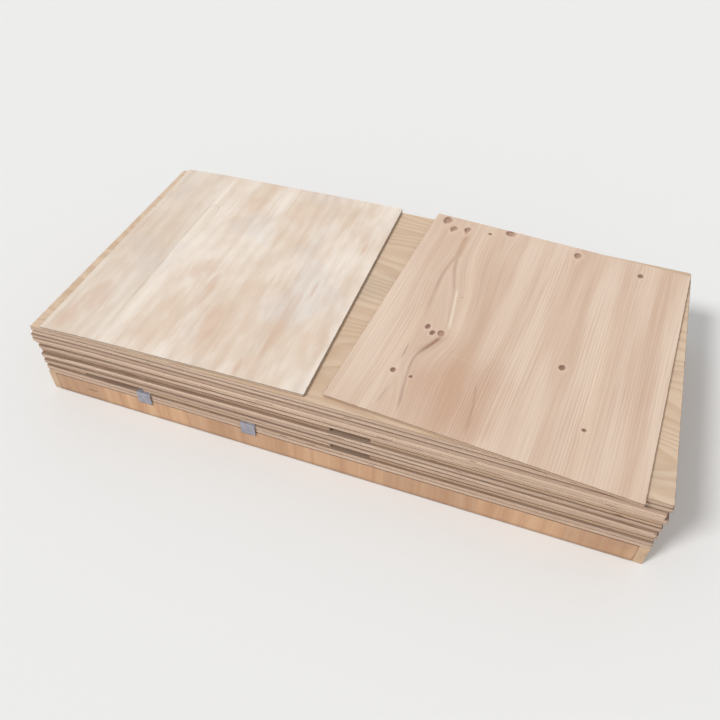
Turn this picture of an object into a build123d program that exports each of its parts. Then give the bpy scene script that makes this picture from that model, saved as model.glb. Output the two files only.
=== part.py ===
"""A stack of plywood sheets, in millimetres.

Full sheets lie in three packs on a low plywood-sided base. Offcut panels keep the packs
apart, with a slot left open between them for a sling or a fork. Two shorter sheets lie side
by side on top: a pale one on the left and a knotty one on the right.

X runs along the sheets, Y to the back and Z up. The origin is on the floor, under the
middle of the base.
"""

import os
from math import atan2, degrees, sqrt
from random import Random

from build123d import *

# Full sheets
sheet_length = 2400.0
sheet_width = 1200.0
sheet_thickness = 18.0
lower_count = 2
middle_count = 3
upper_count = 6
lower_play = 3.0          # how far an edge of the lower pack may lie out of line
stacking_play = 7.0       # the same for the full sheets above, which were laid more loosely
layer_gap = 0.3           # air that rough faces keep between them

# Base of plywood strips on edge, with a timber post at each corner
base_height = 100.0
rail_thickness = 18.0
post_side = 35.0
cross_rail_pitch = 600.0
cross_rail_count = 3

# Offcut panels between the packs, two thick, measured from the stack's left end
spacer_thickness = 15.0
spacer_start = 450.0
slot_start = 1250.0
slot_width = 150.0
end_strip_width = 190.0
end_strip_thickness = 18.0
spacer_set_back = 8.0     # from the stack's front and back edges

# Bow of the sheets that lie over the hollow below them
arch_rise = 5.0

# Steel clips hooked over the lower pack
clip_width = 60.0
clip_height = 58.0
clip_thickness = 2.0
clip_tongue = 30.0
clip_bend_radius = 3.0
clip_corner_radius = 2.5
clip_clearance = 0.5
first_clip = 460.0
clip_pitch = 454.0
clip_count = 2

# The two shorter sheets on top
top_length = 1100.0
top_width = 1200.0
top_thickness = 12.0
pale_left = 52.0          # from the stack's left end to the pale sheet's front corner
pale_turn = 0.8
top_gap = 62.0            # between the two, measured along the front
knotty_turn = -4.0
knotty_set_back = 40.0    # of the knotty sheet's front left corner

left_end = -sheet_length / 2
front = -sheet_width / 2
spacer_height = 2 * spacer_thickness + layer_gap
bend_start = left_end + spacer_start
end_droop = spacer_height - end_strip_thickness
slab_reach = sheet_length / 2 + 4 * stacking_play
spacer_width = sheet_width - 2 * spacer_set_back
droop_radius = (spacer_start**2 + end_droop**2) / (2 * end_droop)
arch_span = sheet_length - spacer_start
arch_middle = bend_start + arch_span / 2
arch_radius = ((arch_span / 2) ** 2 + arch_rise**2) / (2 * arch_rise)

pieces = []
dice = Random(11)


def keep(piece, name):
    """Label a finished piece and put it on the list of those that are written out."""
    piece.label = name
    pieces.append(piece)


def drooped(x):
    """How far a bent sheet hangs below its level part, left of the spacers."""
    return sqrt(droop_radius**2 - (bend_start - x) ** 2) - droop_radius


def arched(x):
    """How far a bowed sheet rises between the spacers' start and its right end."""
    return arch_rise - arch_radius + sqrt(arch_radius**2 - (x - arch_middle) ** 2)


def bent_line(z, bowed):
    """Draw the line that a bent sheet's face follows from left to right, at height z."""
    halfway = (bend_start - slab_reach) / 2
    droop = ThreePointArc(
        (-slab_reach, z + drooped(-slab_reach)), (halfway, z + drooped(halfway)), (bend_start, z)
    )
    if bowed:
        rest = ThreePointArc(
            (bend_start, z), (arch_middle, z + arch_rise), (slab_reach, z + arched(slab_reach))
        )
    else:
        rest = Line((bend_start, z), (slab_reach, z))
    return droop @ 0, rest @ 1


def flat_panel(name, size, centre, z, turn=0.0):
    """A level sheet or offcut. Its size is length, width and thickness."""
    length, width, thickness = size
    with BuildPart() as panel:
        with BuildSketch(Plane.XY.offset(z)):
            with Locations(centre):
                Rectangle(length, width, rotation=turn)
        extrude(amount=thickness)
    keep(panel.part, name)


def bent_panel(name, size, centre, z, turn=0.0, bowed=True):
    """A sheet or offcut that follows the bent faces below it."""
    length, width, thickness = size
    with BuildPart() as panel:
        with BuildSketch(Plane.XZ):
            with BuildLine():
                low_left, low_right = bent_line(z, bowed)
                high_left, high_right = bent_line(z + thickness, bowed)
                Line(low_left, high_left)
                Line(low_right, high_right)
            make_face()
        extrude(amount=width, both=True)
        with BuildSketch(Plane.XY.offset(z - spacer_height)):
            with Locations(centre):
                Rectangle(length, width, rotation=turn)
        extrude(amount=3 * spacer_height + thickness, mode=Mode.INTERSECT)
    keep(panel.part, name)


def hand_laid(play):
    """The small shift and turn with which a full sheet was laid on the stack."""
    left_edge = dice.uniform(-play, play)
    right_edge = dice.uniform(-play, play)
    shift = dice.uniform(-play, play)
    turn = degrees(atan2(right_edge - left_edge, sheet_length))
    return (shift, (left_edge + right_edge) / 2), turn


# Base
rail_length = sheet_length - 2 * post_side
end_rail_length = sheet_width - 2 * post_side
cross_rail_length = sheet_width - 2 * rail_thickness
for name, side in (("base_front_rail", -1), ("base_back_rail", 1)):
    with BuildPart() as rail:
        with BuildSketch():
            with Locations((0, side * (sheet_width - rail_thickness) / 2)):
                Rectangle(rail_length, rail_thickness)
        extrude(amount=base_height)
    keep(rail.part, name)

for name, side in (("base_left_rail", -1), ("base_right_rail", 1)):
    with BuildPart() as end_rail:
        with BuildSketch():
            with Locations((side * (sheet_length - rail_thickness) / 2, 0)):
                Rectangle(rail_thickness, end_rail_length)
        extrude(amount=base_height)
    keep(end_rail.part, name)

for depth, y_side in (("front", -1), ("back", 1)):
    for hand, x_side in (("left", -1), ("right", 1)):
        with BuildPart() as post:
            with BuildSketch():
                corner = (x_side * (sheet_length - post_side) / 2, y_side * (sheet_width - post_side) / 2)
                with Locations(corner):
                    Rectangle(post_side, post_side)
            extrude(amount=base_height)
        keep(post.part, f"post_{depth}_{hand}")

for index in range(cross_rail_count):
    with BuildPart() as cross_rail:
        with BuildSketch():
            with Locations(((index - (cross_rail_count - 1) / 2) * cross_rail_pitch, 0)):
                Rectangle(rail_thickness, cross_rail_length)
        extrude(amount=base_height)
    keep(cross_rail.part, f"cross_rail_{index + 1}")

# Lower pack, flat on the base
full_sheet = (sheet_length, sheet_width, sheet_thickness)
height = base_height
for index in range(lower_count):
    place, turn = hand_laid(lower_play)
    flat_panel(f"lower_sheet_{index + 1}", full_sheet, place, height + layer_gap, turn)
    height += layer_gap + sheet_thickness

# Steel clips, each hooked over the lower pack by a tongue
clip_top = height + layer_gap + clip_thickness
clip_back = front - lower_play - clip_clearance
tongue_end = front + clip_tongue
clip_places = [left_end + first_clip + index * clip_pitch for index in range(clip_count)]
for name, x in zip(("clip_left", "clip_right"), clip_places):
    with BuildPart() as clip:
        with BuildSketch(Plane.YZ.offset(x)):
            with BuildLine() as section:
                outside = FilletPolyline(
                    (tongue_end, clip_top),
                    (clip_back - clip_thickness, clip_top),
                    (clip_back - clip_thickness, clip_top - clip_height),
                    radius=clip_bend_radius,
                )
                inside = FilletPolyline(
                    (tongue_end, clip_top - clip_thickness),
                    (clip_back, clip_top - clip_thickness),
                    (clip_back, clip_top - clip_height),
                    radius=clip_bend_radius - clip_thickness,
                )
                Line(outside @ 0, inside @ 0)
                Line(outside @ 1, inside @ 1)
            make_face()
        extrude(amount=clip_width / 2, both=True)
        plate_corners = clip.edges().filter_by(Axis.Y).sort_by(Axis.Z)[:2]
        tongue_corners = clip.edges().filter_by(Axis.Z).sort_by(Axis.Y)[-2:]
        fillet(plate_corners + tongue_corners, radius=clip_corner_radius)
    keep(clip.part, name)

# Strip under the drooping left end
strip_place = (left_end + end_strip_width / 2, 0)
flat_panel(
    "end_strip", (end_strip_width, spacer_width, end_strip_thickness), strip_place, height + layer_gap
)

# Spacer panels on the lower pack, notched over the clips' tongues
left_panel_length = slot_start - spacer_start
right_panel_length = sheet_length - slot_start - slot_width
left_panel_middle = left_end + (spacer_start + slot_start) / 2
right_panel_middle = sheet_length / 2 - right_panel_length / 2
for level, layer in enumerate(("bottom", "top")):
    z = height + layer_gap + level * (spacer_thickness + layer_gap)
    with BuildPart() as left_panel:
        with BuildSketch(Plane.XY.offset(z)):
            with Locations((left_panel_middle, 0)):
                Rectangle(left_panel_length, spacer_width)
        extrude(amount=spacer_thickness)
        if level == 0:
            with BuildSketch(Plane.XY.offset(z)):
                notch_depth = clip_tongue + clip_clearance
                with Locations(*((x, front + notch_depth / 2) for x in clip_places)):
                    Rectangle(clip_width + 2 * clip_clearance, notch_depth)
            extrude(amount=clip_thickness + layer_gap, mode=Mode.SUBTRACT)
    keep(left_panel.part, f"low_spacer_left_{layer}")
    right_size = (right_panel_length, spacer_width, spacer_thickness)
    flat_panel(f"low_spacer_right_{layer}", right_size, (right_panel_middle, 0), z)
height += 2 * (spacer_thickness + layer_gap)

# Middle pack: its lowest sheet droops to the strip, and the rest are bowed as well
for index in range(middle_count):
    place, turn = hand_laid(stacking_play)
    name = f"middle_sheet_{index + 1}"
    bent_panel(name, full_sheet, place, height + layer_gap, turn, bowed=index > 0)
    height += layer_gap + sheet_thickness

# Spacer panels on the middle pack
high_left_size = (slot_start, spacer_width, spacer_thickness)
high_left_middle = left_end + slot_start / 2
for level, layer in enumerate(("bottom", "top")):
    z = height + layer_gap + level * (spacer_thickness + layer_gap)
    bent_panel(f"high_spacer_left_{layer}", high_left_size, (high_left_middle, 0), z)
    right_size = (right_panel_length, spacer_width, spacer_thickness)
    bent_panel(f"high_spacer_right_{layer}", right_size, (right_panel_middle, 0), z)
height += 2 * (spacer_thickness + layer_gap)

# Upper pack
for index in range(upper_count):
    place, turn = hand_laid(stacking_play)
    bent_panel(f"upper_sheet_{index + 1}", full_sheet, place, height + layer_gap, turn)
    height += layer_gap + sheet_thickness

# The two shorter sheets, each placed by its front left corner
top_size = (top_length, top_width, top_thickness)
pale_corner = Location((left_end + pale_left, front, 0), (0, 0, pale_turn))
pale_middle = (pale_corner * Location((top_length / 2, top_width / 2, 0))).position
bent_panel("pale_sheet", top_size, (pale_middle.X, pale_middle.Y), height + layer_gap, pale_turn)

knotty_left = left_end + pale_left + top_length + top_gap
knotty_corner = Location((knotty_left, front + knotty_set_back, 0), (0, 0, knotty_turn))
knotty_middle = (knotty_corner * Location((top_length / 2, top_width / 2, 0))).position
bent_panel(
    "knotty_sheet", top_size, (knotty_middle.X, knotty_middle.Y), height + layer_gap, knotty_turn
)

os.makedirs("parts", exist_ok=True)
for piece in pieces:
    export_step(piece, f"parts/{piece.label}.step")
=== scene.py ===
import math

import bmesh
import bpy
import numpy as np
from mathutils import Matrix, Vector, noise


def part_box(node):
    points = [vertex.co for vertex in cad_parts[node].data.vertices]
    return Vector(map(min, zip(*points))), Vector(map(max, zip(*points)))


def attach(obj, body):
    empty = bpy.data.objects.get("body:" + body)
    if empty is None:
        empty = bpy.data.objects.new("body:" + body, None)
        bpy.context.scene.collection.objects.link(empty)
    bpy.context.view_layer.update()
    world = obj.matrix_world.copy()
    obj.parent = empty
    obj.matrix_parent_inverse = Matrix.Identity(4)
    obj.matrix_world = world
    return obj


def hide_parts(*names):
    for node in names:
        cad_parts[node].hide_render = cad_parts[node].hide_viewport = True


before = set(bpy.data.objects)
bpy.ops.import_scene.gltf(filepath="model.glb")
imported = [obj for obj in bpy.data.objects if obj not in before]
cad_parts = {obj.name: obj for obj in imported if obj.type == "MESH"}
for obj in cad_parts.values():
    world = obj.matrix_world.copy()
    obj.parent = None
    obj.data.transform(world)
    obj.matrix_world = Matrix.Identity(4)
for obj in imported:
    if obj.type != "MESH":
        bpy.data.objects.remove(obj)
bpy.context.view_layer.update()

# Camera: it stands to the right of the stack's front, as in the photograph, and looks down
# on the sheets that lie on top. The lens has the photograph's field of view.
scene = bpy.context.scene
view_azimuth = math.radians(20.0)
view_elevation = math.radians(46.0)
view_distance = 3.06
aim = Vector((-0.02, -0.085, 0.08))

toward_camera = Vector(
    (
        math.sin(view_azimuth) * math.cos(view_elevation),
        -math.cos(view_azimuth) * math.cos(view_elevation),
        math.sin(view_elevation),
    )
)
lens = bpy.data.cameras.new("camera")
lens.sensor_width = 36.0
lens.lens = 36.2
camera = bpy.data.objects.new("camera", lens)
camera.location = aim + toward_camera * view_distance
camera.rotation_euler = (-toward_camera).to_track_quat("-Z", "Y").to_euler()
scene.collection.objects.link(camera)
scene.camera = camera

# Base rails: strips of plywood on edge with upright grain, under the stack's front, back and
# ends, and three more across the middle. Seven plies show on their sawn edges, where worn
# corners and open core gaps make the line ragged.
rail_plies = 7
rail_step = 0.012
rail_seed_pitch = 3.1
cross_rail_count = 3

# Veneer strips on a rail, by their left edges, and a slit in the first one, by its middle
rail_veneers = (0.0, 0.205, 0.315, 0.605, 1.04, 1.42, 1.77, 2.08)
rail_tones = (0.62, 0.22, 0.10, 0.42, 0.30, 0.55, 0.25, 0.50)
last_veneer_width = 0.3
rail_slit = (0.165, 0.055)
slit_reach = 0.034

# Wear of a sawn edge: depths in metres, and waves in lumps for each metre. What is added to
# a seed or multiplies a ply's number only keeps one pattern apart from the next.
side_grain_wear = 0.0002
end_grain_wear = 0.0006
saw_wave = 25.0
fibre_wave = 90.0
core_gap = 0.004
core_gap_wave = 11.0
side_gap_limit = 0.55
end_gap_limit = 0.38
worn_rim = 0.0013
rim_wave = 45.0
rim_reach = 0.62
rim_chip = 0.003
chip_wave = 7.0
chip_limit = 0.42
knocked_corner = 0.0025
ply_rows = (0.15, 0.85)
touching = 1e-6

# Strips of the bake map, for the two faces, the two long edges and both ends side by side. The
# pattern on the edges is shifted by more than the seed, and on the ends by a length as well.
bake_rows = ((0.0, 0.45), (0.455, 0.905), (0.915, 0.94), (0.945, 0.97), (0.975, 1.0))
end_share = 0.495
end_start = 0.505
edge_shift = 2.3
end_shift = 5.0


def seen(red, green, blue):
    """A colour as a screen shows it, from 0 to 255, in the linear values that shaders use."""
    return tuple(((part / 255 + 0.055) / 1.055) ** 2.4 for part in (red, green, blue))


class Socket:
    """A value that varies over a surface. Sums and products of it are Math nodes."""

    def __init__(self, nodes, link):
        self.nodes = nodes
        self.link = link

    def math(self, operation, first, second):
        return self.nodes.node("Math", {"operation": operation}, {0: first, 1: second})

    def __add__(self, other):
        return self.math("ADD", self, other)

    def __sub__(self, other):
        return self.math("SUBTRACT", self, other)

    def __rsub__(self, other):
        return self.math("SUBTRACT", other, self)

    def __mul__(self, other):
        return self.math("MULTIPLY", self, other)

    def __truediv__(self, other):
        return self.math("DIVIDE", self, other)

    def __pow__(self, other):
        return self.math("POWER", self, other)

    def __or__(self, other):
        return self.math("MAXIMUM", self, other)

    __radd__ = __add__
    __rmul__ = __mul__


class Nodes:
    """A node tree that is built up one node at a time."""

    def __init__(self, tree):
        self.tree = tree

    def node(self, kind, settings=None, sockets=None, output=0):
        """Add a node of this kind and return one of its outputs."""
        made = self.tree.nodes.new("ShaderNode" + kind)
        for key, value in (settings or {}).items():
            if key == "stops":
                ramp = made.color_ramp.elements
                while len(ramp) < len(value):
                    ramp.new(0.5)
                for stop, (position, tone) in zip(ramp, value):
                    stop.position = position
                    stop.color = (tone, tone, tone, 1.0)
            elif key == "steps":
                made.color_ramp.interpolation = value
            else:
                setattr(made, key, value)
        for key, value in (sockets or {}).items():
            self.feed(made.inputs[key], value)
        return Socket(self, made.outputs[output])

    def feed(self, entry, value):
        """Link a varying value to a socket, or set a constant on it."""
        if isinstance(value, Socket):
            self.tree.links.new(value.link, entry)
        elif isinstance(value, tuple) and entry.type == "RGBA":
            entry.default_value = (*value, 1.0)
        else:
            entry.default_value = value


class Finish(Nodes):
    """A material built around one Principled shader."""

    def __init__(self, name, **constants):
        self.material = bpy.data.materials.new(name)
        self.material.use_nodes = True
        super().__init__(self.material.node_tree)
        self.shader = self.tree.nodes["Principled BSDF"]
        for socket, value in constants.items():
            self.shader.inputs[socket.replace("_", " ")].default_value = value

    def surface(self):
        """The two coordinates of the piece's own map, in metres or plies."""
        flat = self.node("UVMap", {"uv_map": "wood"})
        return [self.node("SeparateXYZ", {}, {0: flat}, output=axis) for axis in "XY"]

    def solid(self):
        """The three coordinates of the part itself, in metres."""
        place = self.node("TexCoord", output="Object")
        return [self.node("SeparateXYZ", {}, {0: place}, output=axis) for axis in "XYZ"]

    def fade(self, value, low, high):
        """0 below low, 1 above high and smooth between, or the other way round."""
        ends = {"Value": value, "From Min": low, "From Max": high}
        return self.node("MapRange", {"interpolation_type": "SMOOTHSTEP"}, ends)

    def blend(self, share, first, second):
        """Mix two colours by a share from 0 to 1, on the Mix node's sockets for colours."""
        return self.node("Mix", {"data_type": "RGBA"}, {0: share, 6: first, 7: second}, output=2)

    def cloud(self, across, along, third=0.0, detail=3.0, rough=0.5):
        """Noise from 0 to 1 at a point, with one lump for each unit."""
        place = self.node("CombineXYZ", {}, {0: across, 1: along, 2: third})
        sockets = {"Vector": place, "Scale": 1.0, "Detail": detail, "Roughness": rough}
        return self.node("TexNoise", {}, sockets)

    def near(self, value, centre, width):
        """1 where a value meets its centre, falling off to 0 over the width on both sides."""
        apart = self.node("Math", {"operation": "ABSOLUTE"}, {0: value - centre})
        return self.fade(apart, width, 0.0)

    def paint(self, colour, rough, height, depth):
        """Feed the colour, the roughness and a bump of this depth to the shader."""
        self.feed(self.shader.inputs["Base Color"], colour)
        self.feed(self.shader.inputs["Roughness"], rough)
        bump = self.node("Bump", {}, {"Height": height, "Distance": depth})
        self.feed(self.shader.inputs["Normal"], bump)
        return self.material


def ply_edges(name, side_grain, end_grain, dust):
    """Sawn plywood edge: the map runs along the edge in metres, and up it in plies."""
    wood = Finish(name)
    along, up = wood.surface()
    sunk = wood.node("Attribute", {"attribute_name": "sunk"}, output="Fac")
    wander = wood.cloud(along * 5.0, up * 0.4, detail=2.0)
    level = up + (wander - 0.5) * 0.22
    ply = wood.node("Math", {"operation": "FLOOR"}, {0: level})
    inside = level - ply
    cross = wood.node("Math", {"operation": "PINGPONG"}, {0: ply, 1: 1.0})
    tone = wood.cloud(along * 1.1, ply * 3.7)
    sheet_tone = wood.cloud(along * 0.14, 7.3)
    fibres = wood.cloud(along * 26.0, level * 3.0, detail=4.0, rough=0.65)
    pores = wood.cloud(along * 380.0, level * 4.0, detail=2.0, rough=0.7)
    long_colour = wood.blend(wood.fade(tone * 0.65 + fibres * 0.35, 0.40, 0.60), *side_grain)
    cross_colour = wood.blend(wood.fade(tone * 0.7 + pores * 0.3, 0.40, 0.60), *end_grain)
    colour = wood.blend(cross, long_colour, cross_colour)
    glue = wood.fade(inside, 0.0, 0.09) * wood.fade(inside, 1.0, 0.93)
    colour = wood.blend((1.0 - glue) * 0.8, colour, seen(128, 98, 78))
    colour = wood.blend(wood.fade(sheet_tone, 0.48, 0.62) * 0.38, colour, seen(158, 123, 103))
    colour = wood.blend(wood.fade(sheet_tone, 0.46, 0.36) * 0.35, colour, seen(240, 213, 188))
    dusty = wood.cloud(along * 6.0, up * 0.25, 2.0, detail=5.0, rough=0.6)
    colour = wood.blend(wood.fade(dusty, 0.52, 0.74) * 0.35, colour, dust)
    # The edge darkens towards its two rims, partly as dirt and partly as painted shade in the gaps
    # where panels meet.
    near_rim = wood.node("Attribute", {"attribute_name": "rim"}, output="Fac")
    rim_dirt_and_shade = wood.fade(near_rim + (dusty - 0.5) * 0.5, 0.08, 0.60)
    colour = wood.blend(rim_dirt_and_shade * 0.85, colour, seen(82, 62, 54))
    # Where a ply's edge lies deep, in a core gap, chip or knocked corner, it is darker: painted shade
    # in the hollow.
    colour = wood.blend(wood.fade(sunk, 0.0022, 0.0045) * 0.85, colour, seen(70, 52, 42))
    height = glue * 0.4 + (1.0 - cross) * 0.4 + pores * 0.5
    return wood.paint(colour, 0.85, height, 0.0006)


def wear_back(distance, ply, seed, end_grain, inner):
    """How far the saw and wear left one ply short of the panel's edge."""
    slow = 0.5 + 0.5 * noise.noise(Vector((distance * saw_wave, ply * 5.3, seed)))
    fine = 0.5 + 0.5 * noise.noise(Vector((distance * fibre_wave, ply * 3.1, seed + 40.0)))
    depth = (end_grain_wear if end_grain else side_grain_wear) * (0.5 + slow + fine)
    if inner:
        hole = noise.noise(Vector((distance * core_gap_wave, ply * 9.7, seed + 80.0)))
        limit = end_gap_limit if end_grain else side_gap_limit
        depth += core_gap * max(0.0, min(1.0, (hole - limit) * 8.0))
    return depth


def cut_block(size, plies, step):
    """A block with one corner at the origin, and rows of points for the plies on its sides."""
    length, width, thickness = size
    bm = bmesh.new()
    bmesh.ops.create_cube(bm, size=1.0)
    bmesh.ops.translate(bm, vec=(0.5, 0.5, 0.5), verts=bm.verts)
    bmesh.ops.scale(bm, vec=size, verts=bm.verts)

    def running(axis):
        """The edges that run along one axis."""
        runs = [(line, line.verts[1].co - line.verts[0].co) for line in bm.edges]
        return [line for line, run in runs if abs(run[axis]) > 0.9 * run.length]

    for ply in range(plies):
        for share in ply_rows:
            sides = [patch for patch in bm.faces if abs(patch.normal.z) < 0.5]
            lines = {line for patch in sides for line in patch.edges}
            dots = {dot for patch in sides for dot in patch.verts}
            level = Vector((0.0, 0.0, thickness * (ply + share) / plies))
            around = [*sides, *lines, *dots]
            bmesh.ops.bisect_plane(bm, geom=around, plane_co=level, plane_no=(0, 0, 1))
    bmesh.ops.subdivide_edges(bm, edges=running(0), cuts=int(length / step) - 1, use_grid_fill=True)
    ends = [
        line
        for line in running(1)
        if all(dot.co.x < touching for dot in line.verts)
        or all(dot.co.x > length - touching for dot in line.verts)
    ]
    bmesh.ops.subdivide_edges(bm, edges=ends, cuts=int(width / step) - 1, use_grid_fill=True)
    return bm


def map_panel(bm, size, plies, seed, grain_axis):
    """Give a panel the map "wood", which its materials read, and the map for baking.

    The map "wood" holds metres on the two faces, and metres along and plies up on the edges.
    """
    length, width, thickness = size
    wood_map = bm.loops.layers.uv.new("wood")
    bake_map = bm.loops.layers.uv.new("OFBake")
    bm.normal_update()
    for patch in bm.faces:
        flat = abs(patch.normal.z) > 0.5
        at_end = abs(patch.normal.x) > 0.5
        positive = sum(patch.normal) > 0.0
        patch.material_index = 1 if flat else 0
        for loop in patch.loops:
            s, t, w = loop.vert.co
            if flat:
                loop[wood_map].uv = (s + seed, t)
                low, high = bake_rows[int(positive)]
                loop[bake_map].uv = (s / length, low + (high - low) * t / width)
            elif at_end:
                shifted = t + seed * edge_shift + end_shift
                loop[wood_map].uv = (shifted, w / thickness * plies + 1.0 - grain_axis)
                low, high = bake_rows[4]
                along = end_share * t / width + (end_start if positive else 0.0)
                loop[bake_map].uv = (along, low + (high - low) * w / thickness)
            else:
                loop[wood_map].uv = (s + seed * edge_shift, w / thickness * plies + grain_axis)
                low, high = bake_rows[2 + int(positive)]
                loop[bake_map].uv = (s / length, low + (high - low) * w / thickness)


def wear_panel(bm, size, plies, seed, grain_axis):
    """Draw each ply's edge back by its wear, and note how deep it lies and how near a rim."""
    thickness = size[2]
    sunk = bm.verts.layers.float.new("sunk")
    near_rim = bm.verts.layers.float.new("rim")
    for dot in bm.verts:
        s, t, w = dot.co
        ply = min(plies - 1, int(w / thickness * plies))
        from_rim = min(w, thickness - w) / thickness * plies
        rim = max(0.0, 1.0 - from_rim / rim_reach) ** 1.4
        dot[near_rim] = rim
        at_side = [int(dot.co[k] > size[k] - touching) - int(dot.co[k] < touching) for k in (0, 1)]
        for axis, distance in ((0, t), (1, s)):
            side = at_side[axis]
            if side:
                end_grain = (ply + axis + grain_axis) % 2 == 0
                row = ply + 20.0 * axis + 7.0 * side
                depth = wear_back(distance, row, seed, end_grain, 0 < ply < plies - 1)
                ragged = noise.noise(Vector((distance * rim_wave, round(w, 3), seed + 9.0)))
                chip = noise.noise(Vector((distance * chip_wave, round(w, 3), seed + 17.0)))
                chipped = max(0.0, min(1.0, (chip - chip_limit) * 6.0))
                depth += rim * (worn_rim * (0.7 + 0.8 * ragged) + rim_chip * chipped)
                if at_side[1 - axis]:
                    knock = noise.noise(Vector((row, w * fibre_wave, seed)))
                    depth += knocked_corner * (0.6 + knock)
                dot.co[axis] -= side * depth
                dot[sunk] = max(dot[sunk], depth)


def saw_panel(size, plies, step, seed, grain_axis=0):
    """Model a plywood panel with ragged plies, with one corner at the origin."""
    bm = cut_block(size, plies, step)
    map_panel(bm, size, plies, seed, grain_axis)
    wear_panel(bm, size, plies, seed, grain_axis)
    return bm


def stand_up(bm, node):
    """Stand a panel on its long edge, in the place of its CAD node."""
    low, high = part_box(node)
    lengthwise = high[0] - low[0] > high[1] - low[1]
    for dot in bm.verts:
        s, t, w = dot.co
        if lengthwise:
            dot.co = (low[0] + s, high[1] - w, low[2] + t)
        else:
            dot.co = (low[0] + w, low[1] + s, low[2] + t)


def hand_over(bm, node, suffix, materials):
    """Turn a finished mesh into the piece that stands for a CAD node."""
    mesh = bpy.data.meshes.new(f"{node}_{suffix}")
    bm.to_mesh(mesh)
    bm.free()
    for material in materials:
        mesh.materials.append(material)
    piece = bpy.data.objects.new(mesh.name, mesh)
    scene.collection.objects.link(piece)
    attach(piece, "root")
    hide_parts(node)


def rail_veneer(name):
    """Orange-brown pine veneer with upright grain, pieced together from strips."""
    wood = Finish(name)
    along, up = wood.surface()
    pieced = rail_veneers[-1] + last_veneer_width
    stops = tuple((start / pieced, tone) for start, tone in zip(rail_veneers, rail_tones))
    turn = wood.node("Math", {"operation": "FRACT"}, {0: along / pieced})
    strip = wood.node("ValToRGB", {"steps": "CONSTANT", "stops": stops}, {0: turn})
    shift = strip * 13.0
    drift = wood.cloud(along * 3.0, up * 2.0, shift, detail=2.0)
    ring = along + (drift - 0.5) * 0.05
    bands = wood.cloud(ring * 22.0, up * 0.8, shift, detail=3.0)
    lines = wood.cloud(ring * 240.0, up * 2.5, shift, detail=3.0, rough=0.6)
    stain = wood.cloud(along * 3.0, up * 6.0, 4.0, detail=4.0)
    colour = wood.blend(wood.fade(bands, 0.32, 0.68), seen(218, 178, 141), seen(198, 154, 118))
    colour = wood.blend(strip * 0.85, colour, seen(166, 130, 106))
    colour = wood.blend(wood.fade(lines, 0.5, 0.72) * 0.40, colour, seen(160, 117, 87))
    colour = wood.blend(wood.fade(stain, 0.52, 0.75) * 0.35, colour, seen(146, 118, 100))
    lowest = wood.fade(up + (stain - 0.5) * 0.03, 0.022, 0.0)
    colour = wood.blend(lowest * 0.5, colour, seen(120, 98, 84))
    slit_height = wood.near(up + (drift - 0.5) * 0.004, rail_slit[1], 0.0022)
    slit = slit_height * wood.near(along, rail_slit[0], slit_reach)
    # The slit is painted near black as painted shade inside it, and the bump sinks it.
    colour = wood.blend(wood.fade(slit, 0.0, 0.3), colour, seen(58, 40, 32))
    height = lines * 0.5 + bands * 0.3 - slit * 4.0
    return wood.paint(colour, 0.78, height, 0.0005)


rail_edge = ply_edges(
    "rail_edge",
    (seen(206, 172, 142), seen(224, 194, 166)),
    (seen(156, 122, 98), seen(184, 150, 124)),
    seen(186, 166, 150),
)
rail_face = rail_veneer("rail_face")
rail_names = [f"base_{side}_rail" for side in ("front", "back", "left", "right")]
rail_names += [f"cross_rail_{index + 1}" for index in range(cross_rail_count)]
for index, node in enumerate(rail_names):
    low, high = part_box(node)
    spans = sorted((high[0] - low[0], high[1] - low[1]))
    size = (spans[1], high[2] - low[2], spans[0])
    panel = saw_panel(size, rail_plies, rail_step, rail_seed_pitch * index, grain_axis=1)
    stand_up(panel, node)
    hand_over(panel, node, "wood", (rail_edge, rail_face))

# Corner posts: short lengths of sawn pine, square in section, with the grain upright. The
# rails butt against them, and the sheets rest on their end grain.
post_arris = 0.0016
post_cuts = 5
post_ripple = 0.0004
ripple_wave = 90.0
post_heart = (0.31, -0.94)
post_ring = 0.0035


def sawn_pine(name):
    """Sawn pine whose growth rings run round a heart beyond the post."""
    wood = Finish(name)
    x, y, z = wood.solid()
    drift = wood.cloud(x * 12.0, y * 12.0, z * 3.0)
    out = ((x - post_heart[0]) ** 2.0 + (y - post_heart[1]) ** 2.0) ** 0.5
    ring = out / post_ring + drift * 1.4
    rings = wood.node("Math", {"operation": "FRACT"}, {0: ring})
    saw_marks = wood.cloud(x * 30.0, y * 30.0, z * 420.0, detail=2.0)
    dirt = wood.cloud(x * 22.0, y * 22.0, z * 14.0, detail=4.0)
    late = wood.fade(rings, 0.2, 0.8) * wood.fade(rings, 1.0, 0.88)
    colour = wood.blend(late, seen(214, 186, 156), seen(184, 148, 114))
    colour = wood.blend(wood.fade(dirt, 0.45, 0.75) * 0.6, colour, seen(156, 132, 114))
    return wood.paint(colour, 0.85, saw_marks * 0.6 + late * 0.4, 0.0005)


post_wood = sawn_pine("post_wood")
post_names = [f"post_{depth}_{hand}" for depth in ("front", "back") for hand in ("left", "right")]
for node in post_names:
    low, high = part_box(node)
    middle = (low + high) / 2
    bm = bmesh.new()
    bmesh.ops.create_cube(bm, size=1.0)
    bmesh.ops.scale(bm, vec=high - low, verts=bm.verts)
    bmesh.ops.translate(bm, vec=middle, verts=bm.verts)
    arrises = bm.edges[:]
    bmesh.ops.bevel(
        bm, geom=arrises, affect="EDGES", offset=post_arris, segments=2, profile=0.5, material=-1
    )
    bmesh.ops.subdivide_edges(bm, edges=bm.edges[:], cuts=post_cuts, use_grid_fill=True)
    for dot in bm.verts:
        inward = Vector((middle.x - dot.co.x, middle.y - dot.co.y, 0.0)).normalized()
        ripple = 0.5 + 0.5 * noise.noise(dot.co * ripple_wave)
        dot.co += inward * post_ripple * ripple
    hand_over(bm, node, "wood", (post_wood,))

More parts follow.
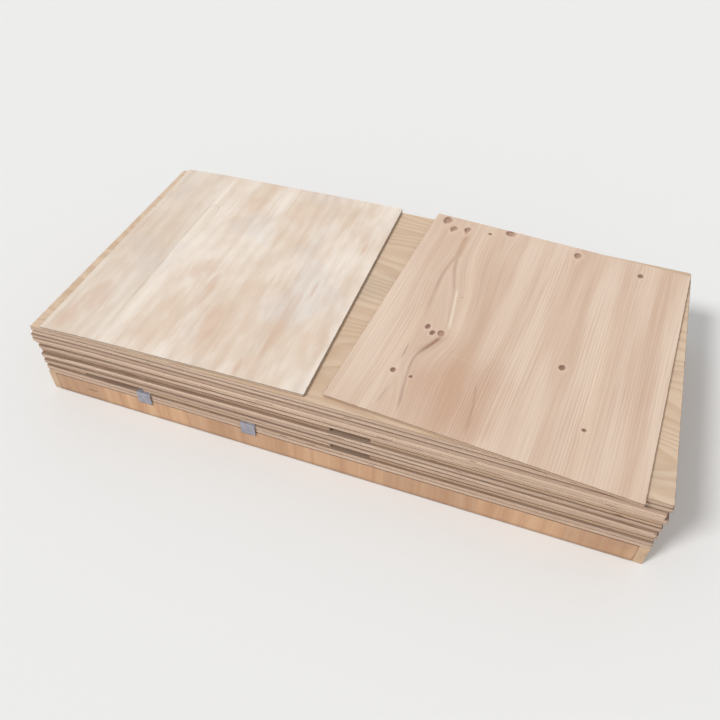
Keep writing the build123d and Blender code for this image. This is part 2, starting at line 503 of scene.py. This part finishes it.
# Full sheets: pine plywood of seven plies, 18 mm thick, in a lower pack of two, a middle pack
# of three and an upper pack of six. They lie loose, and those that lie over a hollow bend.
packs = (("lower", 2), ("middle", 3), ("upper", 6))
sheet_plies = 7
sheet_step = 0.010
sheet_seed_pitch = 3.1


def pine_veneer(name, pale, tan, brown):
    """Rotary-cut pine veneer, with rings like contour lines drawn out along the sheet."""
    wood = Finish(name)
    along, across = wood.surface()
    hills = wood.cloud(along * 0.55, across * 2.6, detail=1.5)
    ring = across * 14.0 + hills * 26.0
    wobble = wood.cloud(along * 3.0, across * 30.0, 3.0, detail=2.0)
    rings = wood.node("Math", {"operation": "FRACT"}, {0: ring + wobble * 0.5})
    late = wood.fade(rings, 0.15, 0.82) * wood.fade(rings, 1.0, 0.86)
    fibres = wood.cloud(along * 5.0, across * 520.0, detail=3.0, rough=0.6)
    wide = wood.cloud(along * 0.7, across * 3.5, 5.0, detail=2.0)
    grey = wood.cloud(along * 1.7, across * 2.1, 9.0, detail=4.0)
    colour = wood.blend(late * 0.55, pale, tan)
    colour = wood.blend(wood.fade(fibres, 0.5, 0.75) * 0.35, colour, brown)
    colour = wood.blend(wood.fade(wide, 0.45, 0.7) * 0.35, colour, tan)
    colour = wood.blend(wood.fade(grey, 0.5, 0.72) * 0.3, colour, seen(170, 150, 134))
    return wood.paint(colour, 0.75, fibres, 0.0003)


def face_line(node, upward):
    """The x and z of a CAD node's upper or lower face, from left to right."""
    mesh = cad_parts[node].data
    spots = {
        (round(mesh.vertices[corner].co.x, 5), round(mesh.vertices[corner].co.z, 5))
        for polygon in mesh.polygons
        if polygon.normal.z * upward > 0.5
        for corner in polygon.vertices
    }
    extreme = {}
    for x, z in spots:
        extreme[x] = max(extreme.get(x, z), z) if upward > 0 else min(extreme.get(x, z), z)
    return np.array(sorted(extreme.items())).T


def plan_corners(node):
    """The front left, front right and back left corner of a sheet, seen from above."""
    spots = [vertex.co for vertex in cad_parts[node].data.vertices]
    front_left = min(spots, key=lambda p: p.x + p.y)
    front_right = max(spots, key=lambda p: p.x - p.y)
    back_left = min(spots, key=lambda p: p.x - p.y)
    return [Vector((p.x, p.y, 0.0)) for p in (front_left, front_right, back_left)]


def lay_down(node, plies, step, seed, materials, grain_axis=0):
    """Lay a ragged panel where its CAD node lies, with the same turn and bend."""
    corner, front_right, back_left = plan_corners(node)
    length = (front_right - corner).length
    width = (back_left - corner).length
    underside = face_line(node, -1)
    top = face_line(node, 1)
    thickness = top[1][0] - underside[1][0]
    bm = saw_panel((length, width, thickness), plies, step, seed, grain_axis)
    right = (front_right - corner) / length
    back = (back_left - corner) / width
    for dot in bm.verts:
        s, t, w = dot.co
        spot = corner + right * s + back * t
        low = np.interp(spot.x, *underside)
        high = np.interp(spot.x, *top)
        dot.co = (spot.x, spot.y, low + (high - low) * w / thickness)
    hand_over(bm, node, "wood", materials)


sheet_edge = ply_edges(
    "sheet_edge",
    (seen(220, 192, 166), seen(239, 215, 192)),
    (seen(160, 129, 110), seen(194, 163, 141)),
    seen(200, 183, 168),
)
sheet_face = pine_veneer("sheet_face", seen(222, 198, 172), seen(200, 168, 138), seen(166, 132, 106))
# Every sheet but the top one gets a darker copy of the veneer: painted shade for the slots and
# recesses between the sheets.
inner_face_painted_shade = pine_veneer("inner_face_painted_shade", seen(160, 135, 115), seen(138, 111, 92), seen(112, 88, 73))
sheet_names = [f"{pack}_sheet_{index + 1}" for pack, count in packs for index in range(count)]
for index, node in enumerate(sheet_names):
    seed = sheet_seed_pitch * (index + 1)
    face = sheet_face if node == sheet_names[-1] else inner_face_painted_shade
    lay_down(node, sheet_plies, sheet_step, seed, (sheet_edge, face))

# Steel clips: two pieces of blue-grey coated sheet steel, cut square and folded once. The
# plate hangs over the lower pack's edge, and the tongue is pinched under the spacers.
clip_edge = 0.0004
flat_below = math.radians(2.0)
sharp_above = math.radians(40.0)
rusty_foot = (0.082, 0.088)


def coated_steel(name):
    """Dull blue-grey coating with fine scratches, dirt specks and rust along its foot."""
    steel = Finish(name, Metallic=0.25)
    x, y, z = steel.solid()
    mottle = steel.cloud(x * 60.0, y * 60.0, z * 60.0, detail=4.0)
    scratches = steel.cloud(x * 700.0 + z * 500.0, y * 80.0, z * 30.0, detail=3.0, rough=0.7)
    specks = steel.cloud(x * 900.0, y * 900.0, z * 900.0, detail=1.0)
    foot = steel.fade(z + (mottle - 0.5) * 0.012, rusty_foot[1], rusty_foot[0])
    colour = steel.blend(steel.fade(mottle, 0.3, 0.7), seen(148, 147, 158), seen(166, 165, 174))
    colour = steel.blend(steel.fade(scratches, 0.6, 0.75) * 0.5, colour, seen(190, 191, 200))
    colour = steel.blend(steel.fade(specks, 0.68, 0.78) * 0.5, colour, seen(92, 82, 82))
    colour = steel.blend(foot * 0.6, colour, seen(126, 100, 88))
    return steel.paint(colour, 0.45 + mottle * 0.25, scratches * 0.5 + mottle * 0.5, 0.0003)


clip_steel = coated_steel("clip_steel")
for node in ("clip_left", "clip_right"):
    bm = bmesh.new()
    bm.from_mesh(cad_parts[node].data)
    bmesh.ops.remove_doubles(bm, verts=bm.verts, dist=touching)
    bmesh.ops.dissolve_limit(
        bm, angle_limit=flat_below, verts=bm.verts, edges=bm.edges, use_dissolve_boundaries=False
    )
    sharp = [line for line in bm.edges if line.calc_face_angle(0.0) > sharp_above]
    bmesh.ops.bevel(
        bm, geom=sharp, affect="EDGES", offset=clip_edge, segments=2, profile=0.5, material=-1
    )
    hand_over(bm, node, "steel", (clip_steel,))

# Spacers: offcut panels of 15 mm plywood, laid two thick between the packs with a slot left
# open, and one 18 mm strip under the drooping end. Their grain runs from front to back.
spacer_plies = 5
first_spacer_seed = 50.0
spacer_seed_pitch = 1.7
notch_room = 0.0005
cutter_drop = 0.01

spacer_edge = ply_edges(
    "spacer_edge",
    (seen(206, 174, 144), seen(226, 196, 166)),
    (seen(148, 116, 92), seen(178, 144, 118)),
    seen(186, 166, 150),
)
spacer_face = pine_veneer("spacer_face", seen(208, 178, 150), seen(178, 142, 110), seen(140, 104, 78))
spacer_names = ["end_strip"]
spacer_names += [
    f"{layer}_spacer_{hand}_{level}"
    for layer in ("low", "high")
    for hand in ("left", "right")
    for level in ("bottom", "top")
]
for index, node in enumerate(spacer_names):
    plies = sheet_plies if node == "end_strip" else spacer_plies
    seed = first_spacer_seed + spacer_seed_pitch * index
    lay_down(node, plies, sheet_step, seed, (spacer_edge, spacer_face), grain_axis=1)

# The lowest left spacer is notched underneath, so that it lies flat over the clips' tongues.
notched = bpy.data.objects["low_spacer_left_bottom_wood"]
for node in ("clip_left", "clip_right"):
    low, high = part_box(node)
    bm = bmesh.new()
    bmesh.ops.create_cube(bm, size=1.0)
    room = Vector((notch_room, notch_room, 0.0))
    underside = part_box("low_spacer_left_bottom")[0].z
    tongue_low = Vector((low.x, low.y, underside - cutter_drop))
    bmesh.ops.scale(bm, vec=high - tongue_low + 2 * room, verts=bm.verts)
    bmesh.ops.translate(bm, vec=(high + tongue_low) / 2, verts=bm.verts)
    cutter_mesh = bpy.data.meshes.new("notch")
    bm.to_mesh(cutter_mesh)
    bm.free()
    cutter = bpy.data.objects.new("notch", cutter_mesh)
    cut = notched.modifiers.new("notch", "BOOLEAN")
    cut.object = cutter
    cut.operation = "DIFFERENCE"
    scene.collection.objects.link(cutter)
    shaped = notched.evaluated_get(bpy.context.evaluated_depsgraph_get())
    notched_mesh = bpy.data.meshes.new_from_object(shaped)
    notched.modifiers.remove(cut)
    notched.data = notched_mesh
    bpy.data.objects.remove(cutter)

# Pale sheet: the left one of the two shorter sheets on top, 12 mm plywood of five plies with
# a nearly white, blotchy face. Its veneers meet at faint joints, and a patch closes a hole.
top_plies = 5
top_step = 0.006

# Places on the face are metres from its front left corner, across and then up, so the seed is 0.
# A joint has its place and strength, and the patch and each streak their middle and half sizes.
top_seed = 0.0
pale_joints = ((0.250, 0.40), (0.030, 0.20), (0.830, 0.12), (0.960, 0.14))
pale_patch = (0.2775, 0.795, 0.0275, 0.155)
peach_streaks = (
    (0.520, 0.400, 0.018, 0.110),
    (0.740, 0.520, 0.010, 0.060),
    (0.820, 0.050, 0.010, 0.050),
    (0.925, 0.540, 0.008, 0.060),
    (1.030, 0.860, 0.012, 0.050),
    (0.120, 0.240, 0.060, 0.120),
    (0.440, 0.520, 0.050, 0.080),
    (0.060, 0.080, 0.040, 0.070),
    (0.620, 0.220, 0.040, 0.160),
    (0.880, 0.300, 0.030, 0.180),
)
edge_notch = (0.0, 0.865)


def pale_veneer(name):
    """Nearly white sanded veneer with soft blotches, faint joints and one long patch."""
    wood = Finish(name)
    s, t = wood.surface()
    drift = wood.cloud(s * 3.0, t * 1.2, detail=2.0)
    across = s + (drift - 0.5) * 0.03
    blotches = wood.cloud(across * 5.0, t * 2.2, 1.0, detail=3.0, rough=0.55)
    columns = wood.cloud(across * 22.0, t * 1.1, 2.0, detail=3.0)
    mottle = wood.cloud(across * 23.0, t * 7.0, 3.0, detail=2.0, rough=0.5)
    greys = wood.cloud(across * 4.0, t * 3.0, 4.0, detail=2.0)
    fibres = wood.cloud(s * 700.0, t * 9.0, 5.0, detail=2.0, rough=0.6)
    strokes = wood.cloud(across * 50.0, t * 3.6, 6.0, detail=3.0, rough=0.6)
    patchy = wood.cloud(s * 3.0, t * 9.0, 7.0, detail=2.0)
    pale_ends = (seen(243, 231, 218), seen(228, 207, 187))
    colour = wood.blend(wood.fade(blotches, 0.36, 0.62), *pale_ends)
    colour = wood.blend(wood.fade(columns, 0.44, 0.66) * 0.34, colour, seen(210, 186, 163))
    colour = wood.blend(wood.fade(greys, 0.50, 0.68) * 0.38, colour, seen(216, 208, 203))
    colour = wood.blend(wood.fade(strokes, 0.50, 0.74) * 0.26, colour, seen(214, 181, 154))
    colour = wood.blend(wood.fade(mottle, 0.48, 0.74) * 0.22, colour, seen(208, 186, 166))
    colour = wood.blend(wood.fade(mottle, 0.52, 0.28) * 0.28, colour, seen(247, 238, 228))
    wavy_s = s + (drift - 0.5) * 0.010
    first_joint = pale_joints[0][0]
    left_veneer = wood.fade(wavy_s, first_joint + 0.003, first_joint - 0.003)
    colour = wood.blend(left_veneer * 0.24, colour, seen(208, 194, 178))
    for place, strength in pale_joints:
        seam = wood.near(wavy_s, place, 0.0022) * wood.fade(patchy, 0.44, 0.60)
        shadow = wood.near(wavy_s, place, 0.014) * wood.fade(columns, 0.35, 0.6)
        colour = wood.blend(seam * strength, colour, seen(160, 132, 106))
        colour = wood.blend(shadow * strength * 0.6, colour, seen(194, 168, 140))
    for place_s, place_t, half_width, half_height in peach_streaks:
        apart = ((s - place_s) / half_width) ** 2.0 + ((t - place_t) / half_height) ** 2.0
        blush = wood.fade(apart + (mottle - 0.5) * 2.6 + (strokes - 0.5) * 3.0, 1.2, 0.0)
        colour = wood.blend(blush * 0.36, colour, seen(208, 166, 140))
    middle_s, middle_t, half_width, half_height = pale_patch
    side = (s - middle_s) / half_width
    end = (t - middle_t) / half_height
    boat = side ** 2.0 + end ** 6.0
    patch = wood.fade(boat, 1.04, 0.98) * wood.fade(end + (columns - 0.5) * 1.5, -1.1, -0.2)
    patch_ends = (seen(238, 226, 211), seen(222, 204, 184))
    patch_colour = wood.blend(wood.fade(columns, 0.4, 0.6) * 0.3, *patch_ends)
    colour = wood.blend(patch * 0.8, colour, patch_colour)
    rim = wood.near(boat, 1.0, 0.16) * wood.fade(patchy, 0.30, 0.52) * wood.fade(end, -0.9, -0.2)
    colour = wood.blend(rim * 0.42, colour, seen(184, 156, 128))
    colour = wood.blend(wood.fade(fibres, 0.5, 0.75) * 0.14, colour, seen(186, 160, 136))
    # The notch at the left edge is painted dark: painted shade in the nick.
    from_notch = (s - edge_notch[0]) ** 2.0 * 0.12 + (t - edge_notch[1]) ** 2.0
    notch = wood.fade(from_notch + (mottle - 0.5) * 0.00001, 0.000016, 0.000004)
    colour = wood.blend(notch * 0.8, colour, seen(104, 88, 78))
    return wood.paint(colour, 0.62 + mottle * 0.2, fibres, 0.00012)


pale_edge = ply_edges(
    "pale_edge",
    (seen(206, 184, 160), seen(226, 206, 184)),
    (seen(158, 134, 114), seen(186, 160, 138)),
    seen(190, 174, 160),
)
pale_face = pale_veneer("pale_face")
pale_finish = (pale_edge, pale_face)
lay_down("pale_sheet", top_plies, top_step, top_seed, pale_finish, grain_axis=1)

# Knotty sheet: the right one of the two shorter sheets, 12 mm plywood of five plies with a
# pinkish pine face. Its grain runs from front to back and flows round brown knots.
dead_knot = 0.0115
beyond_knots = 9.0

# A knot has its middle across and up the face, its half width and half height, and how far a
# tail is drawn out below it. Dead knots are those with less than the half width above.
knots = (
    (0.060, 1.165, 0.018, 0.022, 0.30),
    (0.104, 1.115, 0.014, 0.016, 0.50),
    (0.163, 1.130, 0.012, 0.019, 0.50),
    (0.262, 1.142, 0.008, 0.007, 0.00),
    (0.345, 1.182, 0.020, 0.018, 0.00),
    (0.217, 0.476, 0.010, 0.013, 0.00),
    (0.245, 0.450, 0.009, 0.012, 0.20),
    (0.275, 0.460, 0.013, 0.013, 0.20),
    (0.181, 0.210, 0.009, 0.011, 0.00),
    (0.251, 0.204, 0.006, 0.006, 0.00),
    (0.648, 1.148, 0.013, 0.016, 0.30),
    (0.912, 1.118, 0.010, 0.012, 0.20),
    (0.735, 0.468, 0.011, 0.012, 0.10),
    (0.868, 0.214, 0.007, 0.007, 0.00),
)

# The grain parts round a tongue of pale wood. From its tip down, each side turns from one height
# to another and shifts across meanwhile. The warm patch has its middle and half sizes.
tongue_tip = 0.175
tongue_left = ((0.98, 0.80, -0.014), (0.80, 0.50, 0.020), (0.50, 0.00, -0.012))
tongue_right = ((1.00, 0.68, 0.045), (0.86, 0.47, 0.060), (0.46, 0.29, -0.055), (0.28, 0.00, 0.040))
arch_share = 0.8
warm_patch = (0.405, 0.190, 0.155, 0.190)

# A vein runs from a low end to a high end, with its half width, colour, strength and bow.
vein_taper = 0.02
veins = (
    ((0.180, 0.935), (0.172, 1.090), 0.024, seen(168, 118, 72), 0.36, 0.0),
    ((0.293, 0.500), (0.250, 0.720), 0.010, seen(246, 230, 210), 0.60, 0.0),
    ((0.185, 0.285), (0.183, 0.350), 0.0035, seen(112, 84, 70), 0.6, 0.0),
    ((0.186, 0.050), (0.192, 0.125), 0.0035, seen(112, 84, 70), 0.4, 0.0),
    ((0.505, 0.050), (0.474, 0.260), 0.007, seen(132, 100, 84), 0.26, 0.6),
)
scratch_middle = (0.380, 0.362)
pin_holes = ((0.278, 0.689), (0.284, 0.689))


def tongue_side(wood, t, turns):
    """The place across the sheet of one side of the tongue, from its tip downwards."""
    line = tongue_tip
    for high, low, shift in turns:
        line = wood.fade(t, high, low) * shift + line
    return line


def flowing_grain(wood, s, t, left, right):
    """The lines of the grain, which part round the tongue and bend round each knot."""
    drift = wood.cloud(s * 2.2, t * 0.9, 2.0, detail=2.0)
    into = {"Value": s, "From Min": left, "From Max": right + 0.001}
    through = wood.node("MapRange", {"interpolation_type": "LINEAR"}, into)
    parting = (left - tongue_tip) * (1.0 - through) + (right - tongue_tip) * through
    parting = parting * wood.fade(s, 0.52, 0.20) * wood.fade(s, 0.02, 0.15)
    arch = wood.node("Math", {"operation": "PINGPONG"}, {0: through, 1: 0.5}) * (right - left)
    grain = s + (drift - 0.5) * 0.016 - parting + arch * arch_share
    for knot_s, knot_t, half_width, half_height, _ in knots:
        side = (s - knot_s) / (half_width * 2.4)
        rise = (t - knot_t) / (half_height * 4.5)
        calm = side * side + rise * rise
        push = wood.node("Math", {"operation": "EXPONENT"}, {0: 0.0 - calm})
        grain = grain - (s - knot_s) * push * 0.8
    return grain


def draw_knots(wood, colour, s, t, shiver):
    """Lay each knot's pale halo, brown heart, dark rim on one side and fine rings."""
    ragged_s = s + (shiver - 0.5) * 0.006
    ragged_t = t + (shiver - 0.5) * 0.006
    closest = beyond_knots
    lean = 0.0
    dead = 0.0
    for knot_s, knot_t, half_width, half_height, tail in knots:
        below = wood.fade(t, knot_t, knot_t - half_height * 2.0)
        side = (ragged_s - knot_s) / (half_width * (1.0 - tail * 0.8 * below))
        rise = (ragged_t - knot_t) / (half_height * (1.0 + tail * below))
        apart = (side * side + rise * rise) ** 0.5
        lean = (side - rise * 0.4) * wood.fade(apart, 2.2, 0.9) + lean
        closest = wood.node("Math", {"operation": "MINIMUM"}, {0: apart, 1: closest})
        if half_width < dead_knot:
            dead = wood.fade(apart, 1.9, 0.4) + dead
    bulge = wood.cloud(s * 34.0, t * 28.0, 11.0, detail=3.0)
    closest = closest + (bulge - 0.5) * 1.4
    hearts = wood.fade(closest + lean * 0.30, 1.65, 0.50)
    halos = wood.fade(closest, 2.6, 1.2)
    rims = wood.near(closest, 0.85, 0.50) * wood.fade(lean, 0.45, -0.60)
    whorl = wood.node("Math", {"operation": "SINE"}, {0: closest * 8.0 + shiver * 14.0})
    colour = wood.blend(halos * 0.42, colour, seen(232, 206, 183))
    colour = wood.blend(hearts * 0.82, colour, seen(172, 132, 112))
    colour = wood.blend(rims * hearts * 0.80, colour, seen(118, 84, 70))
    colour = wood.blend(hearts * dead * 0.55, colour, seen(112, 78, 66))
    return wood.blend(hearts * wood.fade(whorl, -0.4, 0.9) * 0.26, colour, seen(128, 92, 76))


def draw_veins(wood, colour, s, t, shiver):
    """Draw the lines of darker or paler wood, each fading out at its two ends."""
    for (low_s, low_t), (high_s, high_t), reach, tone, strength, bow in veins:
        run = {"Value": t, "From Min": low_t, "From Max": high_t, "To Min": low_s, "To Max": high_s}
        middle = wood.node("MapRange", {"interpolation_type": "LINEAR"}, run)
        curve = (t - low_t) * (t - high_t) * bow
        inside = wood.fade(t, low_t - vein_taper, low_t + vein_taper)
        inside = inside * wood.fade(t, high_t + vein_taper, high_t - vein_taper)
        path = s - middle + curve + (shiver - 0.5) * 0.004
        colour = wood.blend(wood.near(path, 0.0, reach) * inside * strength, colour, tone)
    return colour


def knotty_veneer(name):
    """Pine veneer whose stripes part round its knots, with resin streaks between them."""
    wood = Finish(name)
    s, t = wood.surface()
    shiver = wood.cloud(s * 60.0, t * 60.0, 1.0, detail=2.0)
    left = tongue_side(wood, t, tongue_left)
    right = tongue_side(wood, t, tongue_right)
    grain = flowing_grain(wood, s, t, left, right)
    spacing = wood.cloud(s * 1.5, t * 0.4, 6.0, detail=1.0)
    uneven = wood.cloud(grain * 30.0, t * 0.5, 9.0, detail=2.0)
    ring = grain * 84.0 + spacing * 7.0 + uneven * 2.2
    stripe = wood.node("Math", {"operation": "FRACT"}, {0: ring})
    late = wood.fade(stripe, 0.10, 0.62) * wood.fade(stripe, 1.0, 0.66)
    strong = wood.cloud(grain * 8.0, t * 1.3, 3.0, detail=3.0)
    fine = wood.cloud(grain * 420.0, t * 4.0, 4.0, detail=2.0, rough=0.6)
    lines = wood.cloud(grain * 120.0, t * 1.6, 8.0, detail=3.0, rough=0.5)
    broad = wood.cloud(grain * 11.0, t * 0.7, 5.0, detail=3.0)
    bands = wood.cloud(grain * 4.2, t * 0.5, 12.0, detail=3.0)
    warm_s, warm_t, warm_width, warm_height = warm_patch
    off_side = (s - warm_s) / warm_width
    off_rise = (t - warm_t) / warm_height
    cast = wood.cloud(s * 9.0, t * 3.6, 15.0, detail=2.0)
    warm = off_side * off_side + off_rise * off_rise + (strong - 0.5) * 1.6 + (cast - 0.5) * 4.0
    warm = wood.fade(warm, 2.8, -0.6) * wood.fade(s - right, -0.004, 0.020)
    colour = wood.blend(wood.fade(broad, 0.34, 0.66), seen(231, 209, 189), seen(217, 190, 168))
    colour = wood.blend(wood.fade(bands, 0.48, 0.66) * 0.42, colour, seen(205, 170, 144))
    colour = wood.blend(wood.fade(bands, 0.46, 0.34) * 0.36, colour, seen(238, 214, 190))
    striped = wood.fade(strong, 0.42, 0.66) * 0.20 + warm * 0.24 + 0.10
    colour = wood.blend(late * striped, colour, seen(188, 147, 120))
    colour = wood.blend(wood.fade(lines, 0.50, 0.70) * 0.20, colour, seen(194, 157, 133))
    colour = wood.blend(wood.fade(lines, 0.46, 0.30) * 0.22, colour, seen(238, 219, 200))
    colour = wood.blend(warm * 0.42, colour, seen(196, 150, 120))
    colour = wood.blend(wood.fade(fine, 0.5, 0.74) * 0.18, colour, seen(170, 130, 108))
    swayed = s + (strong - 0.5) * 0.010
    upper = wood.fade(t, 0.50, 0.66) * wood.fade(t, 0.97, 0.90)
    streak = wood.fade(t, 0.30, 0.37) * wood.fade(t, 0.475, 0.44)
    lower = wood.fade(t, 0.02, 0.10) * wood.fade(t, 0.36, 0.30)
    soft = 0.007 + strong * 0.012
    comes = wood.fade(cast, 0.30, 0.62) * 0.22 + 0.12
    tongue_lines = (
        (right, soft, upper, comes),
        (left, soft, upper, comes),
        (right, 0.010, lower, comes + 0.14),
        (right, 0.036, streak, 0.22),
        (right, 0.013, streak, 0.70),
    )
    for line, reach, stretch, strength in tongue_lines:
        mark = wood.near(swayed, line, reach) * stretch * strength
        colour = wood.blend(mark, colour, seen(140, 92, 74))
    colour = draw_veins(wood, colour, s, t, shiver)
    scratch = wood.near(t + (shiver - 0.5) * 0.004, scratch_middle[1], 0.003)
    scratch = scratch * wood.near(s, scratch_middle[0], 0.07)
    colour = wood.blend(scratch * 0.22, colour, seen(236, 218, 198))
    colour = draw_knots(wood, colour, s, t, shiver)
    # Each pin hole is a dark dot: painted shade in the hole.
    for hole_s, hole_t in pin_holes:
        apart = (s - hole_s) ** 2.0 + (t - hole_t) ** 2.0
        colour = wood.blend(wood.fade(apart, 0.000005, 0.000002) * 0.8, colour, seen(84, 62, 54))
    pores = wood.cloud(s * 420.0, t * 4.0, 14.0, detail=2.0, rough=0.6)
    return wood.paint(colour, 0.66 + fine * 0.15, pores, 0.00016)


knotty_edge = ply_edges(
    "knotty_edge",
    (seen(206, 174, 146), seen(224, 196, 168)),
    (seen(150, 120, 98), seen(178, 146, 120)),
    seen(186, 166, 150),
)
knotty_face = knotty_veneer("knotty_face")
knotty_finish = (knotty_edge, knotty_face)
lay_down("knotty_sheet", top_plies, top_step, top_seed, knotty_finish, grain_axis=1)

# Floor and light: a plain pale floor under soft light from above, the left and the front. The
# backdrop has nearly the floor's own tone, so that no line shows where the floor ends.
floor_reach = 30.0
floor_tone = (0.86, 0.86, 0.85, 1.0)
backdrop_tone = seen(240, 240, 239)
key_direction = Vector((0.45, 0.52, -0.73))
key_strength = 1.85
sky_strength = 0.55

floor_mesh = bpy.data.meshes.new("floor")
floor_bm = bmesh.new()
bmesh.ops.create_grid(floor_bm, x_segments=1, y_segments=1, size=floor_reach)
floor_bm.to_mesh(floor_mesh)
floor_bm.free()
floor = bpy.data.objects.new("floor", floor_mesh)
floor_paint = Finish("floor_paint", Base_Color=floor_tone, Roughness=0.9)
floor_mesh.materials.append(floor_paint.material)
scene.collection.objects.link(floor)

key = bpy.data.lights.new("key", "SUN")
key.angle = math.radians(14.0)
key.energy = key_strength
key_lamp = bpy.data.objects.new("key", key)
key_lamp.rotation_euler = key_direction.to_track_quat("-Z", "Y").to_euler()
scene.collection.objects.link(key_lamp)

world = bpy.data.worlds.new("world")
world.use_nodes = True
sky = Nodes(world.node_tree)
sky.tree.nodes.remove(sky.tree.nodes["Background"])
soft_light = sky.node("Background", {}, {"Color": (1.0, 1.0, 1.0), "Strength": sky_strength})
backdrop = sky.node("Background", {}, {"Color": backdrop_tone, "Strength": 1.0})
camera_ray = sky.node("LightPath", output="Is Camera Ray")
glossy_ray = sky.node("LightPath", output="Is Glossy Ray")
clear_ray = sky.node("LightPath", output="Is Transmission Ray")
shown = camera_ray | glossy_ray | clear_ray
choice = sky.node("MixShader", {}, {0: shown, 1: soft_light, 2: backdrop})
sky.feed(sky.tree.nodes["World Output"].inputs["Surface"], choice)
scene.world = world
scene.view_settings.view_transform = "Standard"
